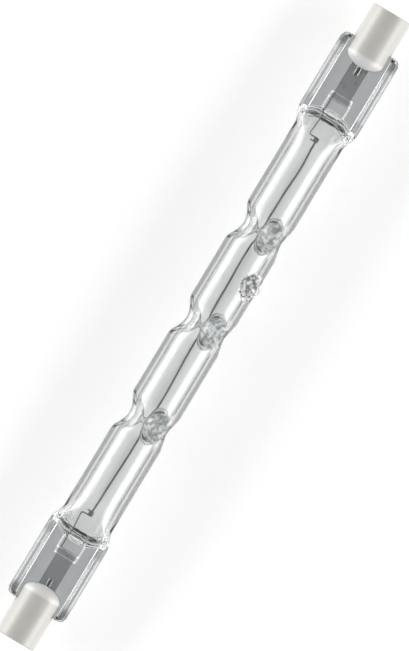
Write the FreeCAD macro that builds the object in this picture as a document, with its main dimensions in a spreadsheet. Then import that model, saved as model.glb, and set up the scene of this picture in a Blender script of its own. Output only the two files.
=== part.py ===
import FreeCAD
import Part
import Sketcher
import math
import os

# Double-ended linear halogen bulb: a clear quartz tube with three pinched waists and two flat pinch seals,
# a coiled filament on its axis, and a slotted ceramic cap with a recessed contact cemented on each seal.
# The bulb's axis runs along X. It lies on its tube, with both pinch seals level. All sizes in millimetres.

SIZES = {
    # Caps and contacts
    "overall_length": 117.6,
    "cap_diameter": 6.95,
    "cap_body_length": 8.3,
    "cap_nose_length": 1.9,
    "cap_edge_chamfer": 0.3,
    "contact_depth": 1.7,
    "button_diameter": 3.6,
    "recess_ledge": 0.45,
    "button_thickness": 0.7,
    "shank_diameter": 1.5,
    "shank_length": 2.2,
    "shank_clearance": 0.05,
    "cement_thickness": 0.12,
    "cement_inset": 0.375,
    # Quartz tube and its ends
    "tube_diameter": 8.9,
    "tube_wall": 1.05,
    "seat_floor": 6.1,
    "pinch_length": 12.6,
    "pinch_corner": 0.9,
    "rail_clearance": 0.425,
    "rail_width": 1.45,
    "rail_height": 0.75,
    "web_thickness": 2.0,
    "web_arc_rise": 1.1,
    "web_slope": 40.0,
    "web_arc_slope": 22.0,
    "flare_length": 7.6,
    "flare_thickness": 5.0,
    "flare_corner": 1.6,
    "pinch_root": 0.8,
    "chamber_end_gap": 1.2,
    "chamber_end_height": 2.0,
    "boss_margin": 0.28,
    "boss_length": 2.6,
    "boss_height": 0.3,
    # Waists
    "waist_count": 3,
    "waist_pitch": 17.8,
    "jaw_count": 3,
    "dimple_depth": 1.75,
    "dimple_length": 1.6,
    "dimple_width": 3.5,
    "dimple_slope": 40.0,
    "throat_clearance": 0.44,
    "bump_length": 0.9,
    "bump_slope": 45.0,
    "neck_depth": 0.4,
    "neck_length": 4.4,
    # Exhaust tip
    "exhaust_offset": 0.4,
    "exhaust_angle": 136.0,
    "exhaust_diameter": 3.0,
    "exhaust_shoulder": 0.5,
    "exhaust_height": 1.2,
    "exhaust_tip": 1.4,
    "exhaust_root": 0.6,
    # Filament, leads and foils
    "coil_diameter": 0.42,
    "coil_end_gap": 4.7,
    "inner_lead_diameter": 0.22,
    "inner_lead_inset": 0.17,
    "inner_lead_weld": 1.2,
    "winding_length": 0.9,
    "winding_clearance": 0.01,
    "tail_length": 0.9,
    "foil_width": 3.04,
    "foil_thickness": 0.05,
    "foil_start": 1.9,
    "foil_end_gap": 2.7,
    "outer_lead_diameter": 0.5,
    "outer_lead_weld": 2.7,
    "channel_clearance": 0.2,
    "weld_sink": 0.3,
}

# Places along the axis that several pieces share, measured from the middle of the bulb.
HALF_LENGTH = "dims.overall_length / 2"
CONTACT_FACE = f"({HALF_LENGTH} - dims.contact_depth)"
RECESS_FLOOR = f"({CONTACT_FACE} - dims.button_thickness)"
SHANK_END = f"({RECESS_FLOOR} - dims.shank_length)"
NOSE_EDGE = f"({HALF_LENGTH} - dims.cap_body_length)"
PINCH_END = f"({HALF_LENGTH} - dims.seat_floor)"
SLOT_FLOOR = f"({PINCH_END} + dims.cement_thickness)"
PINCH_ARC = f"({PINCH_END} - dims.pinch_length)"
PINCH_ROOT = f"({PINCH_ARC} - dims.pinch_root)"
FLARE_START = f"({PINCH_ARC} - dims.flare_length)"
CHAMBER_END = f"({PINCH_ARC} - dims.chamber_end_gap)"
COIL_END = f"({PINCH_ARC} - dims.coil_end_gap)"
FOIL_START = f"({PINCH_ARC} + dims.foil_start)"
FOIL_END = f"({PINCH_END} - dims.foil_end_gap)"
FIRST_WAIST = "(-dims.waist_pitch * (dims.waist_count - 1) / 2)"

# Heights and radii that several pieces share, measured from the bulb's axis.
TUBE_RADIUS = "dims.tube_diameter / 2"
BORE_RADIUS = f"({TUBE_RADIUS} - dims.tube_wall)"
CAP_RADIUS = "dims.cap_diameter / 2"
CAP_HOLE_RADIUS = "(dims.shank_diameter / 2 + dims.shank_clearance)"
SEAT_RADIUS = "(dims.button_diameter / 2 + dims.shank_clearance)"
RECESS_RADIUS = f"({SEAT_RADIUS} + dims.recess_ledge)"
WEB_WIDTH = "(dims.cap_diameter + 2 * dims.rail_clearance)"
PINCH_WIDTH = f"({WEB_WIDTH} + 2 * dims.rail_width)"
PINCH_THICKNESS = "(dims.web_thickness + 2 * dims.rail_height)"
NOSE_TIP = f"({NOSE_EDGE} - dims.cap_nose_length * sqrt(1 - ({CAP_HOLE_RADIUS} / ({CAP_RADIUS}))^2))"
SLOT_HALF = "(dims.web_thickness / 2 + dims.cement_thickness)"
FOIL_TOP = "(-dims.outer_lead_diameter / 2 * (1 - dims.weld_sink))"

# Where the cap's domed nose turns from one cone to the next, in degrees round its section.
NOSE_ANGLES = (62, 38)

ENDS = (("right", 0.0), ("left", 180.0))
X_AXIS = FreeCAD.Vector(1, 0, 0)
Y_AXIS = FreeCAD.Vector(0, 1, 0)

doc = FreeCAD.newDocument("linear_halogen_bulb")
sheet = doc.addObject("Spreadsheet::Sheet", "dims")
for row, (alias, number) in enumerate(SIZES.items(), start=1):
    sheet.set(f"A{row}", alias)
    sheet.set(f"B{row}", str(number))
    sheet.setAlias(f"B{row}", alias)
doc.recompute()


def value(expression):
    return float(sheet.evalExpression(expression))


def place(thing, turn=0.0):
    # Lifts a piece from the axis to its place above the ground; a left-hand piece is turned about Y.
    thing.Placement = FreeCAD.Placement(FreeCAD.Vector(), FreeCAD.Rotation(Y_AXIS, turn))
    thing.setExpression("Placement.Base.z", TUBE_RADIUS)


def new_body(name, turn=0.0):
    body = doc.addObject("PartDesign::Body", name)
    body.Label = name
    place(body, turn)
    return body


def origin_part(body, role):
    return next(part for part in body.Origin.OriginFeatures if part.Role == role)


def new_sketch(body, name, role, offset=None):
    sketch = body.newObject("Sketcher::SketchObject", name)
    sketch.AttachmentSupport = [(origin_part(body, role), "")]
    sketch.MapMode = "FlatFace"
    if offset:
        sketch.setExpression("AttachmentOffset.Base.z", offset)
    return sketch


def bind(sketch, kind, *where, size):
    index = sketch.addConstraint(Sketcher.Constraint(kind, *where, value(size)))
    sketch.setExpression(f"Constraints[{index}]", size)


def fix_point(sketch, edge, end, x_size, y_size):
    for kind, size, axis in (("DistanceX", x_size, -2), ("DistanceY", y_size, -1)):
        if size == "0":
            sketch.addConstraint(Sketcher.Constraint("PointOnObject", edge, end, axis))
        else:
            bind(sketch, kind, -1, 1, edge, end, size=size)


def point(x_size, y_size):
    return FreeCAD.Vector(value(x_size), value(y_size), 0)


def join_ends(sketch, count):
    for edge in range(count):
        sketch.addConstraint(Sketcher.Constraint("Coincident", edge, 2, (edge + 1) % count, 1))


def polygon(sketch, corners, arc=None):
    # A closed outline through the corners. arc = (edge number, bulge point, kind, size) makes that edge an
    # arc through the bulge point, whose centre lies at that size in X or Y.
    count = len(corners)
    first_end = [1] * count
    for edge in range(count):
        start = point(*corners[edge])
        finish = point(*corners[(edge + 1) % count])
        if arc and arc[0] == edge:
            bulge = point(*arc[1])
            if (bulge - start).cross(finish - bulge).z < 0:
                # A sketch counts an arc's ends anticlockwise.
                first_end[edge] = 2
                start, finish = finish, start
            sketch.addGeometry(Part.Arc(start, bulge, finish), False)
        else:
            sketch.addGeometry(Part.LineSegment(start, finish), False)
    for edge in range(count):
        following = (edge + 1) % count
        sketch.addConstraint(
            Sketcher.Constraint("Coincident", edge, 3 - first_end[edge], following, first_end[following]))
        fix_point(sketch, edge, first_end[edge], *corners[edge])
    if arc:
        bind(sketch, arc[2], -1, 1, arc[0], 3, size=arc[3])


def rectangle(sketch, left, right, half_width):
    polygon(sketch, (
        (left, f"-({half_width})"), (right, f"-({half_width})"), (right, half_width), (left, half_width)))


def circle(sketch, radius):
    sketch.addGeometry(Part.Circle(FreeCAD.Vector(), FreeCAD.Vector(0, 0, 1), value(radius)), False)
    sketch.addConstraint(Sketcher.Constraint("Coincident", 0, 3, -1, 1))
    bind(sketch, "Radius", 0, size=radius)


def corner_points(wide, high, corner):
    # The eight ends of a rounded rectangle's straight sides, counted anticlockwise from the lower left.
    inner_wide = f"({wide} / 2 - {corner})"
    inner_high = f"({high} / 2 - {corner})"
    return (
        (f"-{inner_wide}", f"-{high} / 2"), (inner_wide, f"-{high} / 2"),
        (f"{wide} / 2", f"-{inner_high}"), (f"{wide} / 2", inner_high),
        (inner_wide, f"{high} / 2"), (f"-{inner_wide}", f"{high} / 2"),
        (f"-{wide} / 2", inner_high), (f"-{wide} / 2", f"-{inner_high}"))


def split_points(radius):
    # The same eight points on a circle, so that a loft joins like with like.
    angles = (-135, -45, -15, 15, 45, 135, 165, 195)
    return tuple((f"({radius}) * cos({angle})", f"({radius}) * sin({angle})") for angle in angles)


def eight_edges(sketch, ends, radius, round_sides):
    # Four sides and four corners in turn; the sides of a circle are arcs too.
    for edge in range(8):
        start = point(*ends[edge])
        finish = point(*ends[(edge + 1) % 8])
        if edge % 2 or round_sides:
            lean = (finish - start).cross(FreeCAD.Vector(0, 0, 1)).normalize()
            half_chord = (finish - start).Length / 2
            bulge = value(radius) - math.sqrt(value(radius) ** 2 - half_chord ** 2)
            sketch.addGeometry(Part.Arc(start, (start + finish) / 2 + lean * bulge, finish), False)
        else:
            sketch.addGeometry(Part.LineSegment(start, finish), False)
    join_ends(sketch, 8)
    for edge in range(8):
        fix_point(sketch, edge, 1, *ends[edge])
        if edge % 2 or round_sides:
            bind(sketch, "Radius", edge, size=radius)


def pad(body, name, sketch, length, both_ways=False, slope=None):
    feature = body.newObject("PartDesign::Pad", name)
    feature.Profile = sketch
    feature.setExpression("Length", length)
    feature.Midplane = both_ways
    if slope:
        feature.setExpression("TaperAngle", slope)
    doc.recompute()
    return feature


def pocket(body, name, sketch, length, backwards=False, both_ways=False, slope=None):
    feature = body.newObject("PartDesign::Pocket", name)
    feature.Profile = sketch
    feature.setExpression("Length", length)
    feature.Reversed = backwards
    feature.Midplane = both_ways
    if slope:
        feature.setExpression("TaperAngle", slope)
    doc.recompute()
    return feature


def turned(body, kind, name, sketch, axis):
    feature = body.newObject(kind, name)
    feature.Profile = sketch
    feature.ReferenceAxis = axis
    feature.Angle = 360
    doc.recompute()
    return feature


def loft(body, name, first, second, kind="PartDesign::AdditiveLoft"):
    feature = body.newObject(kind, name)
    feature.Profile = first
    feature.Sections = [second]
    doc.recompute()
    return feature


def mirrored(body, name, originals):
    feature = body.newObject("PartDesign::Mirrored", name)
    feature.Originals = originals
    feature.MirrorPlane = (origin_part(body, "YZ_Plane"), [""])
    doc.recompute()
    body.Tip = feature
    return feature


def on_both_faces_and_ends(body, name, originals):
    whole = body.newObject("PartDesign::MultiTransform", name)
    flip = body.newObject("PartDesign::Mirrored", name + "_other_face")
    flip.MirrorPlane = (origin_part(body, "XY_Plane"), [""])
    swap = body.newObject("PartDesign::Mirrored", name + "_other_end")
    swap.MirrorPlane = (origin_part(body, "YZ_Plane"), [""])
    whole.Originals = originals
    whole.Transformations = [flip, swap]
    doc.recompute()
    body.Tip = whole


def along_axis(body, feature):
    # One copy for each waist.
    feature.Direction = (origin_part(body, "X_Axis"), [""])
    feature.setExpression("Length", "dims.waist_pitch * (dims.waist_count - 1)")
    feature.setExpression("Occurrences", "dims.waist_count")


def at_each_waist(body, name, original):
    feature = body.newObject("PartDesign::LinearPattern", name)
    feature.Originals = [original]
    along_axis(body, feature)
    doc.recompute()
    body.Tip = feature


def at_each_jaw(body, name, original):
    # The same press mark from each jaw around the tube, and at each waist along it.
    whole = body.newObject("PartDesign::MultiTransform", name)
    around = body.newObject("PartDesign::PolarPattern", name + "_around")
    around.Axis = (origin_part(body, "X_Axis"), [""])
    around.Angle = 360
    around.setExpression("Occurrences", "dims.jaw_count")
    along = body.newObject("PartDesign::LinearPattern", name + "_along")
    along_axis(body, along)
    whole.Originals = [original]
    whole.Transformations = [around, along]
    doc.recompute()
    body.Tip = whole


def press_mark(body, name, reach, length, width, slope):
    # A tool with a flat end and sloped sides, pushed in from the side and cut out of the body.
    sketch = new_sketch(body, name + "_end", "XZ_Plane", f"-({reach})")
    rectangle(
        sketch, f"{FIRST_WAIST} - {length} / 2", f"{FIRST_WAIST} + {length} / 2", f"{width} / 2")
    mark = pocket(body, name, sketch, TUBE_RADIUS, slope=slope)
    at_each_jaw(body, name + "s", mark)


def press_ridge(body, name, reach, length, slope):
    # A ridge right across the bore, with a flat top and sloped sides.
    sketch = new_sketch(body, name + "_section", "XY_Plane")
    run = f"{TUBE_RADIUS} * tan({slope})"
    polygon(sketch, (
        (f"{FIRST_WAIST} - {length} / 2", reach), (f"{FIRST_WAIST} + {length} / 2", reach),
        (f"{FIRST_WAIST} + {length} / 2 + {run}", f"{reach} + {TUBE_RADIUS}"),
        (f"{FIRST_WAIST} - {length} / 2 - {run}", f"{reach} + {TUBE_RADIUS}")))
    mark = pocket(body, name, sketch, "dims.tube_diameter", both_ways=True)
    at_each_jaw(body, name + "s", mark)


def web_outline(body, name, rise):
    # The web seen from above, at a height above its floor: wider between the rails and longer at the arc.
    sketch = new_sketch(body, name, "XY_Plane", f"dims.web_thickness / 2 + {rise}")
    half_width = f"({WEB_WIDTH} / 2 + {rise} * tan(dims.web_slope))"
    arc_top = f"({PINCH_ARC} - {rise} * tan(dims.web_arc_slope))"
    arc_side = f"({arc_top} - dims.web_arc_rise)"
    open_end = f"({PINCH_END} + {PINCH_THICKNESS})"
    arc_radius = f"(({half_width}^2 + dims.web_arc_rise^2) / (2 * dims.web_arc_rise))"
    polygon(sketch, (
        (arc_side, f"-{half_width}"), (open_end, f"-{half_width}"),
        (open_end, half_width), (arc_side, half_width)),
        arc=(3, (arc_top, "0"), "DistanceX", f"{arc_top} - {arc_radius}"))
    return sketch


def envelope_outside():
    body = new_body("envelope_outside")
    tube = new_sketch(body, "tube_circle", "YZ_Plane")
    circle(tube, TUBE_RADIUS)
    pad(body, "tube", tube, f"2 * {FLARE_START}", both_ways=True)

    flare_from = new_sketch(body, "flare_from", "YZ_Plane", FLARE_START)
    eight_edges(flare_from, split_points(TUBE_RADIUS), TUBE_RADIUS, True)
    flare_ends = corner_points(PINCH_WIDTH, "dims.flare_thickness", "dims.flare_corner")
    flare_to = new_sketch(body, "flare_to", "YZ_Plane", PINCH_ROOT)
    eight_edges(flare_to, flare_ends, "dims.flare_corner", False)
    flare = loft(body, "flare", flare_from, flare_to)
    pinch_ends = corner_points(PINCH_WIDTH, PINCH_THICKNESS, "dims.pinch_corner")
    pinch_section = new_sketch(body, "pinch_section", "YZ_Plane", PINCH_ROOT)
    eight_edges(pinch_section, pinch_ends, "dims.pinch_corner", False)
    pinch = pad(body, "pinch", pinch_section, f"{PINCH_END} - {PINCH_ROOT}")
    mirrored(body, "both_pinches", [flare, pinch])

    # The flat web between the rails has sloped sides and ends in an arc towards the chamber.
    floor = web_outline(body, "web_floor", "0")
    mouth = web_outline(
        body, "web_mouth", "((dims.flare_thickness - dims.web_thickness) / 2 + dims.pinch_root)")
    recess = loft(body, "web_recess", floor, mouth, kind="PartDesign::SubtractiveLoft")
    boss_outline = new_sketch(body, "boss_outline", "XY_Plane", "dims.web_thickness / 2")
    boss_half = "dims.foil_width / 2 + dims.boss_margin"
    rectangle(boss_outline, PINCH_ROOT, f"{PINCH_ARC} + dims.boss_length", boss_half)
    boss = pad(body, "weld_boss", boss_outline, "dims.boss_height", slope="-dims.web_slope")
    on_both_faces_and_ends(body, "both_webs", [recess, boss])

    # The softened tube draws in a little all round where the jaws press it.
    neck = new_sketch(body, "neck_outline", "XY_Plane")
    polygon(neck, (
        (FIRST_WAIST, f"{TUBE_RADIUS} - dims.neck_depth"),
        (f"{FIRST_WAIST} + dims.neck_length / 2", TUBE_RADIUS),
        (f"{FIRST_WAIST} + dims.neck_length / 2", f"{TUBE_RADIUS} + dims.tube_wall"),
        (f"{FIRST_WAIST} - dims.neck_length / 2", f"{TUBE_RADIUS} + dims.tube_wall"),
        (f"{FIRST_WAIST} - dims.neck_length / 2", TUBE_RADIUS)))
    groove = turned(body, "PartDesign::Groove", "neck", neck, (neck, ["H_Axis"]))
    at_each_waist(body, "necks", groove)
    press_mark(body, "dimple", f"{TUBE_RADIUS} - dims.dimple_depth", "dims.dimple_length",
               "dims.dimple_width", "dims.dimple_slope")

    # The exhaust tube was melted off, which leaves a blunt stub.
    stub = new_sketch(body, "exhaust_outline", "XY_Plane")
    stub.AttachmentOffset = FreeCAD.Placement(FreeCAD.Vector(), FreeCAD.Rotation(X_AXIS, 1.0))
    stub.setExpression("AttachmentOffset.Base.x", "dims.waist_pitch / 2 + dims.exhaust_offset")
    stub.setExpression("AttachmentOffset.Rotation.Angle", "dims.exhaust_angle")
    stub_radius = "dims.exhaust_diameter / 2"
    polygon(stub, (
        ("0", f"{TUBE_RADIUS} - dims.exhaust_root"), (stub_radius, f"{TUBE_RADIUS} - dims.exhaust_root"),
        (stub_radius, f"{TUBE_RADIUS} + dims.exhaust_shoulder"),
        ("dims.exhaust_tip / 2", f"{TUBE_RADIUS} + dims.exhaust_height"),
        ("0", f"{TUBE_RADIUS} + dims.exhaust_height")))
    turned(body, "PartDesign::Revolution", "exhaust_tip", stub, (stub, ["V_Axis"]))
    return body


def envelope_chamber():
    # The bore runs on into the flares, where its roof and floor slope towards the pinch.
    body = new_body("envelope_chamber")
    bore = new_sketch(body, "bore_circle", "YZ_Plane")
    circle(bore, BORE_RADIUS)
    pad(body, "bore", bore, f"2 * {CHAMBER_END}", both_ways=True)
    half_height = "dims.chamber_end_height / 2"
    fall = f"(({BORE_RADIUS} - {half_height}) / ({CHAMBER_END} - {FLARE_START}))"
    roof = new_sketch(body, "roof_slope", "XZ_Plane")
    polygon(roof, (
        (f"{FLARE_START} - dims.tube_wall / {fall}", TUBE_RADIUS),
        (PINCH_ARC, f"{half_height} - dims.chamber_end_gap * {fall}"), (PINCH_ARC, TUBE_RADIUS)))
    slope = pocket(body, "sloped_roof", roof, "dims.tube_diameter", both_ways=True)
    on_both_faces_and_ends(body, "sloped_roofs", [slope])
    press_ridge(body, "bump", "(dims.coil_diameter / 2 + dims.throat_clearance)", "dims.bump_length",
                "dims.bump_slope")
    return body


def round_wire(name, radius, start, finish, turn=0.0):
    body = new_body(name, turn)
    section = new_sketch(body, name + "_section", "YZ_Plane", start)
    circle(section, radius)
    pad(body, name + "_length", section, f"{finish} - ({start})")
    return body


def sealing_foil(side, turn):
    body = new_body(f"sealing_foil_{side}", turn)
    outline = new_sketch(body, f"foil_outline_{side}", "XY_Plane", f"{FOIL_TOP} - dims.foil_thickness")
    rectangle(outline, FOIL_START, FOIL_END, "dims.foil_width / 2")
    pad(body, f"foil_sheet_{side}", outline, "dims.foil_thickness")
    return body


def cut(name, base, tool):
    feature = doc.addObject("Part::Cut", name)
    feature.Base = base
    feature.Tool = tool
    feature.Label = name
    doc.recompute()
    return feature


def outer_lead(side, turn, foil):
    # Welded flat onto the foil at one end, and to the end of the contact's shank at the other.
    wire = round_wire(
        f"outer_wire_{side}", "dims.outer_lead_diameter / 2", f"{FOIL_END} - dims.outer_lead_weld",
        SHANK_END, turn)
    return cut(f"outer_lead_{side}", wire, foil)


def inner_lead(side, turn, foil):
    # One wire: a weld on the foil, a run with a bend, a winding round the filament's end and a free tail.
    # The winding's fine turns are one plain sleeve here.
    body = new_body(f"inner_wire_{side}", turn)
    thick = "dims.inner_lead_diameter"
    offset = "(dims.foil_width / 2 - dims.inner_lead_inset)"
    height = f"({FOIL_TOP} + {thick} / 2 * (1 - dims.weld_sink))"
    weld_start = f"({FOIL_START} + dims.inner_lead_weld)"
    sleeve_bore = "(dims.coil_diameter / 2 + dims.winding_clearance)"
    cross_run = f"({COIL_END} - {thick} / 2)"

    route = new_sketch(body, f"lead_route_{side}", "XY_Plane", height)
    corner = point(cross_run, offset)
    route.addGeometry(Part.LineSegment(point(weld_start, offset), corner), False)
    route.addGeometry(Part.LineSegment(corner, point(cross_run, f"{sleeve_bore} + {thick} / 2")), False)
    route.addConstraint(Sketcher.Constraint("Coincident", 0, 2, 1, 1))
    route.addConstraint(Sketcher.Constraint("Horizontal", 0))
    route.addConstraint(Sketcher.Constraint("Vertical", 1))
    fix_point(route, 0, 1, weld_start, offset)
    fix_point(route, 1, 2, cross_run, f"{sleeve_bore} + {thick} / 2")

    section = new_sketch(body, f"lead_section_{side}", "YZ_Plane", weld_start)
    section.setExpression("AttachmentOffset.Base.x", offset)
    section.setExpression("AttachmentOffset.Base.y", height)
    circle(section, f"{thick} / 2")
    run = body.newObject("PartDesign::AdditivePipe", f"lead_run_{side}")
    run.Profile = section
    run.Spine = route
    run.Transition = "Right corner"
    doc.recompute()

    sleeve = new_sketch(body, f"winding_section_{side}", "XY_Plane")
    sleeve_end = f"({COIL_END} - dims.winding_length)"
    polygon(sleeve, (
        (sleeve_end, sleeve_bore), (COIL_END, sleeve_bore),
        (COIL_END, f"{sleeve_bore} + {thick}"), (sleeve_end, f"{sleeve_bore} + {thick}")))
    turned(body, "PartDesign::Revolution", f"winding_{side}", sleeve, (sleeve, ["H_Axis"]))

    tail = new_sketch(body, f"tail_section_{side}", "XZ_Plane", f"-({sleeve_bore} + {thick} / 2)")
    tail.setExpression("AttachmentOffset.Base.x", f"{sleeve_end} + {thick} / 2")
    circle(tail, f"{thick} / 2")
    free_end = pad(body, f"tail_{side}", tail, "dims.tail_length")
    free_end.Reversed = True
    doc.recompute()
    return cut(f"inner_lead_{side}", body, foil)


def ceramic_cap(side, turn):
    body = new_body(f"ceramic_cap_{side}", turn)
    outline = new_sketch(body, f"cap_outline_{side}", "XY_Plane")
    chamfer = "dims.cap_edge_chamfer"
    dome = tuple(
        (f"{NOSE_EDGE} - dims.cap_nose_length * cos({angle})", f"{CAP_RADIUS} * sin({angle})")
        for angle in NOSE_ANGLES)
    polygon(outline, (
        (NOSE_TIP, CAP_HOLE_RADIUS), (RECESS_FLOOR, CAP_HOLE_RADIUS),
        (RECESS_FLOOR, SEAT_RADIUS), (CONTACT_FACE, SEAT_RADIUS),
        (CONTACT_FACE, RECESS_RADIUS), (HALF_LENGTH, RECESS_RADIUS),
        (HALF_LENGTH, f"{CAP_RADIUS} - {chamfer}"), (f"{HALF_LENGTH} - {chamfer}", CAP_RADIUS),
        (NOSE_EDGE, CAP_RADIUS), *dome))
    turned(body, "PartDesign::Revolution", f"cap_turned_{side}", outline, (outline, ["H_Axis"]))
    slot = new_sketch(body, f"slot_outline_{side}", "XZ_Plane")
    rectangle(slot, f"{NOSE_TIP} - dims.cap_nose_length", SLOT_FLOOR, SLOT_HALF)
    pocket(body, f"pinch_slot_{side}", slot, "2 * dims.cap_diameter", both_ways=True)
    return body


def cap_cement(side, turn, quartz, channel):
    # Fills the slot round the pinch, and stops short of the cap's round outside.
    block = new_body(f"cement_block_{side}", turn)
    outline = new_sketch(block, f"cement_outline_{side}", "XZ_Plane")
    rectangle(outline, NOSE_EDGE, SLOT_FLOOR, SLOT_HALF)
    pad(block, f"cement_fill_{side}", outline, "dims.cap_diameter - 2 * dims.cement_inset", both_ways=True)
    around_pinch = cut(f"cement_shell_{side}", block, quartz)
    return cut(f"cap_cement_{side}", around_pinch, channel)


def contact_button(side, turn):
    body = new_body(f"contact_button_{side}", turn)
    outline = new_sketch(body, f"button_outline_{side}", "XY_Plane")
    button_radius = "dims.button_diameter / 2"
    shank_radius = "dims.shank_diameter / 2"
    polygon(outline, (
        (SHANK_END, "0"), (CONTACT_FACE, "0"), (CONTACT_FACE, button_radius),
        (RECESS_FLOOR, button_radius), (RECESS_FLOOR, shank_radius), (SHANK_END, shank_radius)))
    turned(body, "PartDesign::Revolution", f"button_turned_{side}", outline, (outline, ["H_Axis"]))
    return body


def build():
    outside = envelope_outside()
    chamber = envelope_chamber()
    coil = new_body("filament")
    coil_section = new_sketch(coil, "coil_section", "YZ_Plane")
    circle(coil_section, "dims.coil_diameter / 2")
    pad(coil, "coil_length", coil_section, f"2 * {COIL_END}", both_ways=True)

    pieces = [coil]
    hollows = [chamber]
    for side, turn in ENDS:
        foil = sealing_foil(side, turn)
        inner = inner_lead(side, turn, foil)
        outer = outer_lead(side, turn, foil)
        channel = round_wire(
            f"lead_channel_{side}", "dims.outer_lead_diameter / 2 + dims.channel_clearance",
            f"{FOIL_END} - dims.outer_lead_weld", f"({PINCH_END} + dims.cement_thickness)", turn)
        hollows += [foil, inner, channel]
        pieces += [foil, inner, outer, ceramic_cap(side, turn), contact_button(side, turn)]
        pieces.append(cap_cement(side, turn, outside, channel))

    inside = doc.addObject("Part::MultiFuse", "envelope_hollows")
    inside.Shapes = hollows
    doc.recompute()
    pieces.append(cut("quartz_envelope", outside, inside))
    return pieces


def write(pieces):
    doc.recompute()
    for thing in doc.Objects:
        if "Invalid" in thing.State or "Error" in thing.State:
            raise RuntimeError(f"{thing.Name} did not build")
    os.makedirs("parts", exist_ok=True)
    for piece in pieces:
        shape = piece.Shape
        if shape.isNull() or not shape.isValid() or len(shape.Solids) != 1:
            raise RuntimeError(f"{piece.Label} is not one sound solid")
        shape.exportStep(f"parts/{piece.Label}.step")


write(build())
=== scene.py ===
# The looks of a linear halogen bulb: a quartz tube with three pressed waists and a flat pinch seal at
# each end, a coiled filament on wound leads, and ceramic caps with sunk contacts. Lengths of the bulb are
# in millimetres from the middle of its axis, until a finished piece is put in its place in metres.
import math

import bmesh
import bpy
from mathutils import Matrix, Vector, noise


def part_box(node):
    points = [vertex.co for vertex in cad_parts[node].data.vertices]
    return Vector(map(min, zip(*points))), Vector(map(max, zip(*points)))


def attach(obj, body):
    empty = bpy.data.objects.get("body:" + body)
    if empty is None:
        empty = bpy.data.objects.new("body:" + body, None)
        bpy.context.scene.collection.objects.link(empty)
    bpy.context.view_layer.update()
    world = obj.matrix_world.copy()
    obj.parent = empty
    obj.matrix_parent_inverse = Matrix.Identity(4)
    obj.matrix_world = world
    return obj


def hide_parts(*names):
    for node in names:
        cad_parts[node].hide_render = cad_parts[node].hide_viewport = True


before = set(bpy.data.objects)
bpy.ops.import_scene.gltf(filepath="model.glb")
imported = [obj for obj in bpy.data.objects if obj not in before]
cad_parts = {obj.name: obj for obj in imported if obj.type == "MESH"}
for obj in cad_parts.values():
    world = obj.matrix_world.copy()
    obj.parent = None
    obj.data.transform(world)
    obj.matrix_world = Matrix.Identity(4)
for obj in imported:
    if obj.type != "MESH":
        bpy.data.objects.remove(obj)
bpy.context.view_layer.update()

MILLIMETRE = 0.001
AXIS_HEIGHT = 4.45
ENDS = (("right", 0.0), ("left", math.pi))

# Quartz tube
TUBE_RADIUS = 4.45
BORE_RADIUS = 3.4
TUBE_SIDES = 160
BORE_SIDES = 96

# Pinch seals
PINCH_END = 52.7
PINCH_ARC = 40.1
FLATTENING = (31.5, 38.2)
WIDENING = (35.6, 38.9)
FLARE_HALF_HEIGHT = 2.55
PINCH_HALF_WIDTH = 5.35
PINCH_HALF_THICKNESS = 1.75
PINCH_CORNER = 0.9
PINCH_END_CORNER = 1.1
WEB_HALF_WIDTH = 3.9
WEB_HALF_THICKNESS = 1.0
WEB_ARC_RISE = 1.1
RAIL_WALL_RISE = 1 / math.tan(math.radians(40))
ARC_WALL_RISE = 1 / math.tan(math.radians(22))
BOSS_HALF_WIDTH = 1.8
BOSS_END = 42.2
BOSS_FOOT = 43.2
BOSS_HEIGHT = 0.3
CHAMBER_END = 39.4
CHAMBER_HALF_WIDTH = 3.9
CHAMBER_HALF_HEIGHT = 1.5
CHAMBER_DOME = 2.0
CHANNEL_RADIUS = 0.45
CHANNEL_START = 47.3
CHANNEL_END = 52.6

# How a quarter of the tube's sides is shared out round the pinch: its edge, its corner, the rail's top.
EDGE_SHARE = 0.125
CORNER_SHARE = 0.3
RAIL_SHARE = 0.2
RAIL_TOP_WIDTH = 0.75

# How far apart the rings of the tube's skins are: close together where the shape changes fast.
SKIN_STEPS = {"web": 0.7, "pinch": 0.14, "flare": 0.3, "waist": 0.17, "exhaust": 0.12, "tube": 0.8}
CHAMBER_STEPS = {"flare": 0.2, "waist": 0.16, "tube": 0.9}
PLAIN_WEB = (44, 52.3)
SKIN_WAIST_REACH = 4.2
CHAMBER_WAIST_REACH = 4.4

# Waists and exhaust tip
WAISTS = (-17.8, 0.0, 17.8)
JAWS = (0.0, math.radians(120), math.radians(-120))
DIMPLE_DEPTH = 1.2
DIMPLE_HALF_LENGTH = 2.7
DIMPLE_HALF_ANGLE = math.radians(34)
NECK_DEPTH = 0.55
NECK_HALF_LENGTH = 3.4
THROAT_DEPTH = 0.9
BULGE_DEPTH = 2.15
BULGE_HALF_LENGTH = 3.2
BULGE_HALF_ANGLE = math.radians(38)
EXHAUST_PLACE = 9.3
EXHAUST_ANGLE = math.radians(141)
EXHAUST_RADIUS = 2.5
EXHAUST_HEIGHT = 1.45
EXHAUST_HALF_ANGLE = 0.7
EXHAUST_TOP_RADIUS = 0.5

# Filament and leads
COIL_END = 35.4
COIL_RADIUS = 0.16
COIL_WIRE = 0.05
COIL_PITCH = 0.15
COIL_STRETCHES = 20
COIL_SINKS = 0.35
LEAD_WIRE = 0.11
LEAD_OFFSET = 1.35
LEAD_HEIGHT = -0.098
LEAD_START = 43.2
LEAD_LEAVES_PINCH = 39.2
LEAD_SPLAY = 0.06
LEAD_BEND = 0.32
WINDING_RADIUS = 0.33
WINDING_TURNS = 3.5
WINDING_PITCH = 0.2
TAIL_LENGTH = 0.85
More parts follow.
